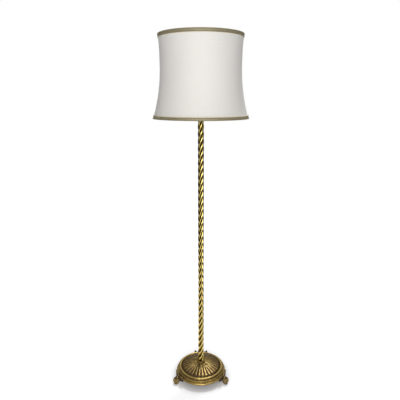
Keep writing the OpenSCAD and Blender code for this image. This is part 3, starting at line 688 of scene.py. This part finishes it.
def blob(target, centre, size, turn=0.0):
    """Adds an ellipsoid to a bmesh, turned about Z by an angle in degrees."""
    place = (Matrix.Translation(Vector(centre)) @ Matrix.Rotation(math.radians(turn), 4, "Z")
             @ Matrix.Diagonal((*size, 1)))
    bmesh.ops.create_icosphere(target, subdivisions=2 if max(size) < 6 else 3, radius=1,
                               matrix=place)


def chain(target, path, radii, count, squeeze=(1, 1, 1)):
    """A row of overlapping balls along a curve, as a tapering limb."""
    for point, share in zip(bezier(path, count), np.linspace(0, 1, count)):
        radius = radii[0] + (radii[1] - radii[0]) * share
        turn = math.degrees(math.atan2(point[1], point[0]))
        blob(target, point, [radius * s for s in squeeze], turn)


def on_rim(r, along, z):
    """A point at a radius, a distance along the rim and a height, for a foot at azimuth 0."""
    angle = along / r
    return (r * math.cos(angle), r * math.sin(angle), z)


def foot_mesh():
    """Points, faces and normals of one winged paw at azimuth 0.

    It is made of a ridged ball, a limb, a pair of wings and the tongue under the plinth ring,
    which are fused and smoothed.
    """
    form = bmesh.new()
    knob_at, knob_up, knob_r = FOOT_R - 18, PAD_TOP + 17, 16.5
    ridges, ridge_apart = 9, 27
    quills = 5
    blob(form, (knob_at, 0, knob_up), (knob_r, knob_r, knob_r))
    for k in range(ridges):
        fan = math.radians((k - ridges // 2) * ridge_apart)
        for rise in range(85, -70, -5):
            out = knob_r * math.cos(math.radians(rise))
            ridge = 1.4 + 1.4 * math.cos(math.radians(rise))
            blob(form, (knob_at + out * math.cos(fan), out * math.sin(fan),
                        knob_up + knob_r * math.sin(math.radians(rise))), (ridge, ridge, ridge))
    chain(form, [(knob_at - 2, 0, 30), (knob_at - 6, 0, 38), (knob_at - 10, 0, 42),
                 (PLINTH_R + 4, 0, 45)], (10, 6), 10)
    blob(form, (PLINTH_R + 6.5, 0, 47), (5, 8, 5))
    for side in (-1, 1):
        for k in range(quills):
            tip = on_rim(PLINTH_R + 4.2, side * (33 + 2.4 * k - 0.3 * k * k), 50.5 - 5.6 * k)
            bend = on_rim(PLINTH_R + 6.6, side * (25 + 0.6 * k), 40 - 3.4 * k)
            root = on_rim(PLINTH_R + 7.5, side * 12, 39 - 3.4 * k)
            start = on_rim(PLINTH_R + 8, side * 3, 41 - 3.2 * k)
            chain(form, [start, root, bend, tip], (4.8, 2.7), 18, (0.8, 1, 1))
        blob(form, on_rim(PLINTH_R + 5, side * 33.0, 50), (4, 5, 5.2), side * 14)
        blob(form, on_rim(PLINTH_R + 4, side * 16, 32), (3.8, 14, 7), side * 7)
    tongue_r, tongue_z = 126.5, Z_BASE - 3.2
    length, width, thickness = 28, 23.6, 5.6
    for corner in bmesh.ops.create_cube(form, size=1)["verts"]:
        corner.co.x = tongue_r + corner.co.x * length
        corner.co.y *= width
        corner.co.z = tongue_z + corner.co.z * thickness
    return fused(form, voxel=0.75, rounds=4)


def fused(form, voxel, rounds):
    """Points, faces and normals of a bmesh's forms as one smoothed skin."""
    mesh = bpy.data.meshes.new("foot_form")
    form.to_mesh(mesh)
    form.free()
    rough = add(mesh, "foot_form")
    fuse = rough.modifiers.new("fuse", "REMESH")
    fuse.mode = "VOXEL"
    fuse.voxel_size = voxel
    soften = rough.modifiers.new("soften", "SMOOTH")
    soften.factor = 0.5
    soften.iterations = rounds
    made = bpy.data.meshes.new_from_object(
        rough.evaluated_get(bpy.context.evaluated_depsgraph_get()))
    bpy.data.objects.remove(rough)
    points = np.zeros(len(made.vertices) * 3)
    made.vertices.foreach_get("co", points)
    faces = [list(p.vertices) for p in made.polygons]
    normals = np.zeros(len(made.vertices) * 3, np.float32)
    made.vertex_normals.foreach_get("vector", normals)
    return points.reshape(-1, 3), faces, normals.reshape(-1, 3)


def smoothed(points, faces, rounds=6):
    """The points, each moved to the mean of its neighbours round after round."""
    edges = np.array([(f[i], f[(i + 1) % len(f)]) for f in faces for i in range(len(f))])
    both = np.vstack([edges, edges[:, ::-1]])
    total = np.bincount(both[:, 0], minlength=len(points)).clip(1)[:, None]
    for _ in range(rounds):
        summed = np.stack([np.bincount(both[:, 0], points[both[:, 1], k], len(points))
                           for k in range(3)], -1)
        points = summed / total
    return points


def feet():
    """The same paw at three azimuths, pushed out of the plinth ring and cut off level."""
    points, faces, normals = foot_mesh()
    hug = PLINTH_R + 0.3
    r = np.hypot(points[:, 0], points[:, 1])
    inward = (r < hug) & (points[:, 2] > Z_BASE)
    points[:, :2] *= np.where(inward, hug / r, 1.0)[:, None]
    points[:, 2] = np.maximum(points[:, 2], PAD_TOP)
    stand_out = ((points - smoothed(points, faces)) * normals).sum(1)
    # painted shadow: the paw is darker where it lies close under the plinth ring
    painted_shadow_near_rim = 1 - ease(PLINTH_R + 4, PLINTH_R + 16, np.hypot(points[:, 0], points[:, 1]))
    crest = np.clip(0.5 + stand_out / 0.5, 0, 1) - 0.3 * painted_shadow_near_rim
    for name, azimuth in FOOT_AZIMUTHS.items():
        c, s = math.cos(math.radians(azimuth)), math.sin(math.radians(azimuth))
        placed = points @ np.array([[c, s, 0], [-s, c, 0], [0, 0, 1]])
        Shape().add(placed, faces, crest).make(
            name + "_paw", "stand", "gilt_base", GILT_BASE, [name], sharp=0)


feet()


# ---------------------------------------------------------------- shade

SHADE_ANGLES = 384
CURVE_UP, CURVE_DOWN = 2.6, 2.05
LINING_LOW, LINING_HIGH = span("shade_lining", 2)


def shade_r(z):
    """Radius of the fabric's outside at a height above the floor."""
    waist = Z_SHADE_BOTTOM + WAIST_ABOVE_BOTTOM
    up = np.clip((z - waist) / (Z_SHADE_TOP - waist), 0, 1)
    down = np.clip((waist - z) / WAIST_ABOVE_BOTTOM, 0, 1)
    return (WAIST_R + (SHADE_TOP_R - WAIST_R) * up ** CURVE_UP
            + (SHADE_BOTTOM_R - WAIST_R) * down ** CURVE_DOWN)


def cloth(name, z0, z1, depth, thickness, slot, look, node):
    """A closed thin shell of cloth between two depths inside the fabric's outer face."""
    a = angles_round(SHADE_ANGLES)
    z = np.linspace(z0, z1, 73)[:, None]
    out = shade_r(z) - depth
    radius = np.vstack([out, (out - thickness)[::-1]]) * np.ones((1, len(a)))
    height = np.vstack([z, z[::-1]])
    piece = ring_solid(Shape(), radius, height, a, crest=0.5).make(
        name, "shade", slot, look, [node])


cloth("silk_cover", Z_SHADE_BOTTOM, Z_SHADE_TOP, 0, FABRIC_T, "silk", SILK, "shade_fabric")
cloth("silk_lining", LINING_LOW, LINING_HIGH, LINING_DEPTH, LINING_T, "lining", LINING,
      "shade_lining")


SCROLL_PITCH = 10.5
SCROLL_CORD_R = 0.85
EDGE_CORD_R = 0.75
CORD_CREST = 0.8
TAPE_OUT, TAPE_T = 0.8, 0.5  # from the fabric to the tape's outer face, and its thickness


def braid(name, node, z0, cream_edge, piping_r):
    """Gimp braid: a tape, two rows of scrolled cord, a gold cord and a pale piped edge."""
    z1 = z0 + TRIM_H
    tape_z0 = z0 + (piping_r * 2 if cream_edge == "lower" else 0.4)
    tape_z1 = z1 - (piping_r * 2 if cream_edge == "upper" else 0.4)
    mean_r = float(shade_r(np.array((z0 + z1) / 2)))
    repeats = int(round(2 * math.pi * mean_r / SCROLL_PITCH))
    tape = Shape()
    a = angles_round(SHADE_ANGLES)
    z = np.linspace(tape_z0, tape_z1, 9)[:, None]
    out = shade_r(z) + TAPE_OUT
    ring_solid(tape, np.vstack([out, (out - TAPE_T)[::-1]]) * np.ones((1, len(a))),
               np.vstack([z, z[::-1]]), a, crest=0.3)
    tape.make(name + "_tape", "shade", "braid", CORD_DARK, [node])
    scrolls = Shape()
    steps = 20
    scroll_high, scroll_wide, row_offset = 2.6, 4.1, 5.2
    s = np.arange(repeats * steps)
    phase = 2 * math.pi * (s % steps) / steps
    for row, flip in ((0.28, 1), (0.72, -1)):
        height = tape_z0 + (tape_z1 - tape_z0) * row + scroll_high * np.cos(phase) * flip
        slide = scroll_wide * np.sin(phase) + (0 if flip > 0 else row_offset)
        angle = 2 * math.pi * s / len(s) + slide / mean_r
        radius = shade_r(height) + 1.25 + 0.3 * np.sin(phase / 2)
        path = turned(radius, height, angle)
        sweep(scrolls, path, SCROLL_CORD_R, 6, outward(angle), flat=0.7)
    scrolls.make(name + "_scrolls", "shade", "braid", CORD_GOLD)
    for edge, inward in (("lower", 1), ("upper", -1)):
        pale = edge == cream_edge
        cord_r = piping_r if pale else EDGE_CORD_R
        height = (z0 if edge == "lower" else z1) + inward * (cord_r + 0.05)
        cords = Shape()
        a = angles_round(480)
        radius = float(shade_r(np.array(height))) + (0.6 if pale else 1.15)
        strand = 0.22 * np.sin(a * repeats * 3)
        path = turned(radius + strand, height + 0 * a, a)
        sweep(cords, path, cord_r, 10, outward(a))
        cords.make(name + "_" + edge + "_cord", "shade", "braid",
                   CORD_CREAM if pale else CORD_GOLD)


braid("top_braid", "trim_top", Z_SHADE_TOP - TRIM_H, cream_edge="lower", piping_r=1.3)
braid("bottom_braid", "trim_bottom", Z_SHADE_BOTTOM, cream_edge="upper", piping_r=2.5)


# ---------------------------------------------------------------- bulb

def bulb():
    """The frosted glass, with a smooth neck and crown and an even wall.

    The points that meet on the axis at the crown are merged into one.
    """
    bottom, top = span("bulb_glass", 2)
    globe_r = span("bulb_glass", 0)[1]
    neck_r = span("bulb_cap", 0)[1] - 0.6
    wall, crown_from = 0.8, -44
    crown = arc(0, top - globe_r, globe_r, crown_from, 90, 36)
    crown[-1, 0] = 0
    shoulder_r, shoulder_z = crown[0]
    neck = bezier([[neck_r, bottom], [neck_r + 1, bottom + 14],
                   [shoulder_r - 6, shoulder_z - 8], [shoulder_r, shoulder_z]], 24)
    outside = np.vstack([neck[:-1], crown])
    ahead = np.gradient(outside, axis=0)
    ahead /= np.linalg.norm(ahead, axis=1, keepdims=True)
    inside = outside + wall * np.stack([-ahead[:, 1], ahead[:, 0]], -1)
    inside[0] = (neck_r - wall, bottom)
    inside[-1] = (0, top - wall)
    outline = np.vstack([outside, inside[::-1]])
    shape = ring_solid(Shape(), outline[:, :1], outline[:, 1:], angles_round(96), crest=0.6)
    piece = shape.make("frosted_bulb", "bulb", "frosted_glass", FROSTED, ["bulb_glass"])
    form = bmesh.new()
    form.from_mesh(piece.data)
    bmesh.ops.remove_doubles(form, verts=form.verts, dist=1e-7)
    form.to_mesh(piece.data)
    form.free()


bulb()


# ---------------------------------------------------------------- looks of the pieces that stay

STAYING = {
    BRASS: ["column_cap", "neck_tube", "harp_saddle", "harp", "ferrule_left", "ferrule_right",
            "socket_cap", "socket_shell", "screw_shell", "centre_contact", "switch_shaft",
            "shade_spider", "finial_insert", "finial_knob", "column_sleeves"],
    STEEL: ["foot_screws", "plate_screws", "base_washer", "base_nut", "threaded_rod",
            "top_locknut", "harp_stud", "terminal_screws"],
    ZINC: ["shade_top_ring", "shade_bottom_ring", "shade_struts"],
    IRON: ["ballast"],
    PLATE: ["base_plate"],
    FELT: ["foot_pads"],
    RUBBER: ["cord_grommet"],
    CARD: ["socket_liner"],
    PHENOLIC: ["socket_body"],
    PLASTIC: ["switch_knob"],
    GLASS_BLACK: ["bulb_insulator"],
    CAP_METAL: ["bulb_cap", "bulb_contact", "bulb_stem"],
}
for look, names in STAYING.items():
    for name in names:
        materials = frame["nodes"][name].data.materials
        materials.clear()
        materials.append(look)


# ---------------------------------------------------------------- camera, floor and light

LENS_MM, SENSOR_MM = 36.62, 36.0
EYE = (0, -1.9618, 1.475)
EYE_DOWN = 11.71
PHOTO_SIDE = 400
SHIFT = (-0.9, -17.7)
FLOOR_REACH = 9.0
AMBIENT, WHITE = 0.15, 1.0
BLACK, DARK = 0.02, 0.05


def camera():
    """The photograph's view: from the height of the shade's lower half, looking down a little.

    SHIFT is the picture's shift in pixels of the photograph.
    """
    data = bpy.data.cameras.new("camera")
    data.sensor_width = SENSOR_MM
    data.lens = LENS_MM
    data.shift_x, data.shift_y = (pixels / PHOTO_SIDE for pixels in SHIFT)
    eye = add(data, "camera")
    eye.location = EYE
    eye.rotation_euler = (math.radians(90 - EYE_DOWN), 0, 0)
    scene.camera = eye


def seen_glow(look, strength):
    """White emission that camera, glossy and transmitted rays see and that lights nothing else."""
    glow = look.node("ShaderNodeEmission")
    look.put(glow.inputs["Strength"], look.math("MULTIPLY", look.seen_rays(), strength))
    return glow.outputs["Emission"]


def floor():
    """A white floor that glows less round the lamp's base, as painted shade, and up to pure white
    away from it.
    """
    mesh = bpy.data.meshes.new("floor")
    mesh.from_pydata([(-FLOOR_REACH, -FLOOR_REACH, 0), (FLOOR_REACH, -FLOOR_REACH, 0),
                      (FLOOR_REACH, FLOOR_REACH, 0), (-FLOOR_REACH, FLOOR_REACH, 0)],
                     [], [(0, 1, 2, 3)])
    look = Look("floor_white")
    look.set(Base_Color=colour(236, 236, 238), Roughness=0.9, Specular_IOR_Level=0.0)
    away = look.node("ShaderNodeVectorMath", operation="LENGTH")
    look.put(away.inputs[0], look.place)
    # painted shade round the base: the floor's glow is weaker close to the lamp
    near = look.remap(away.outputs["Value"], 0.1, 0.18, to_low=0.065, to_high=0.42)
    far = look.remap(away.outputs["Value"], 0.18, 1.6, to_low=0.0, to_high=0.5)
    both = look.node("ShaderNodeAddShader")
    look.put(both.inputs[0], look.shader.outputs["BSDF"])
    look.put(both.inputs[1], seen_glow(look, look.math("ADD", near, far)))
    look.put(look.nodes["Material Output"].inputs["Surface"], both.outputs["Shader"])
    mesh.materials.append(look.material)
    add(mesh, "floor")


def world():
    """A white backdrop for the rays that see it, over a faint light from all round."""
    scene.world = bpy.data.worlds.new("studio")
    tree = Tree(scene.world)
    ambient = tree.nodes["Background"]
    white = tree.node("ShaderNodeBackground")
    for background, strength in ((ambient, AMBIENT), (white, WHITE)):
        background.inputs["Color"].default_value = (1, 1, 1, 1)
        background.inputs["Strength"].default_value = strength
    pick = tree.node("ShaderNodeMixShader")
    tree.put(pick.inputs["Fac"], tree.seen_rays())
    tree.put(pick.inputs[1], ambient.outputs["Background"])
    tree.put(pick.inputs[2], white.outputs["Background"])
    tree.put(tree.nodes["World Output"].inputs["Surface"], pick.outputs["Shader"])


def shine(data, name, place, target):
    """Puts a light at a place, facing a point."""
    light = add(data, name)
    light.location = place
    light.rotation_euler = (Vector(target) - Vector(place)).to_track_quat("-Z", "Y").to_euler()
    return light


def panel(name, place, target, size, power):
    """A soft rectangular light."""
    data = bpy.data.lights.new(name, "AREA")
    data.shape = "RECTANGLE"
    data.size, data.size_y = size
    data.energy = power
    shine(data, name, place, target)


def shade_fill(name, place, target, cone, power):
    """A soft spot beside the shade, which metal doesn't mirror."""
    data = bpy.data.lights.new(name, "SPOT")
    data.spot_size = math.radians(cone)
    data.spot_blend = 0.5
    data.shadow_soft_size = 0.3
    data.energy = power
    shine(data, name, place, target).visible_glossy = False


def board(name, centre, along, across, grey):
    """A dark board round the lamp that only shows as a reflection."""
    centre, along, across = (np.array(v, float) for v in (centre, along, across))
    corners = [centre - along - across, centre + along - across,
               centre + along + across, centre - along + across]
    mesh = bpy.data.meshes.new(name)
    mesh.from_pydata([c.tolist() for c in corners], [], [(0, 1, 2, 3)])
    look = Look(name)
    look.set(Base_Color=(grey, grey, grey, 1), Roughness=1.0)
    mesh.materials.append(look.material)
    made = add(mesh, name)
    made.visible_camera = False
    made.visible_diffuse = False
    made.visible_shadow = False
    made.visible_transmission = False


camera()
floor()
world()
panel("key", place=(0, -3.4, 2.0), target=(0, 0, 1.2), size=(3.0, 1.6), power=77)
for fill, side in (("fill_left", -1), ("fill_right", 1)):
    shade_fill(fill, place=(side * 2.3, -1.95, 1.6), target=(0, 0, 1.57), cone=20, power=36)
panel("top", place=(0.35, 0.95, 3.0), target=(0, 0, 0.3), size=(0.7, 0.7), power=39)
board("board_left", (-1.6, -0.5, 1.5), (0, 2.4, 0), (0, 0, 1.5), BLACK)
board("board_right", (1.6, -0.5, 1.5), (0, 2.4, 0), (0, 0, 1.5), BLACK)
board("board_floor_left", (-1.08, -0.5, 0.02), (0, 2.4, 0), (0.52, 0, 0), BLACK)
board("board_floor_right", (1.08, -0.5, 0.02), (0, 2.4, 0), (0.52, 0, 0), BLACK)
board("board_behind", (0, 1.9, 0.62), (1.6, 0, 0), (0, 0, 0.62), DARK)
board("board_above", (0, 0, 3.3), (2.5, 0, 0), (0, 2.5, 0), DARK)
scene.view_settings.view_transform = "Standard"
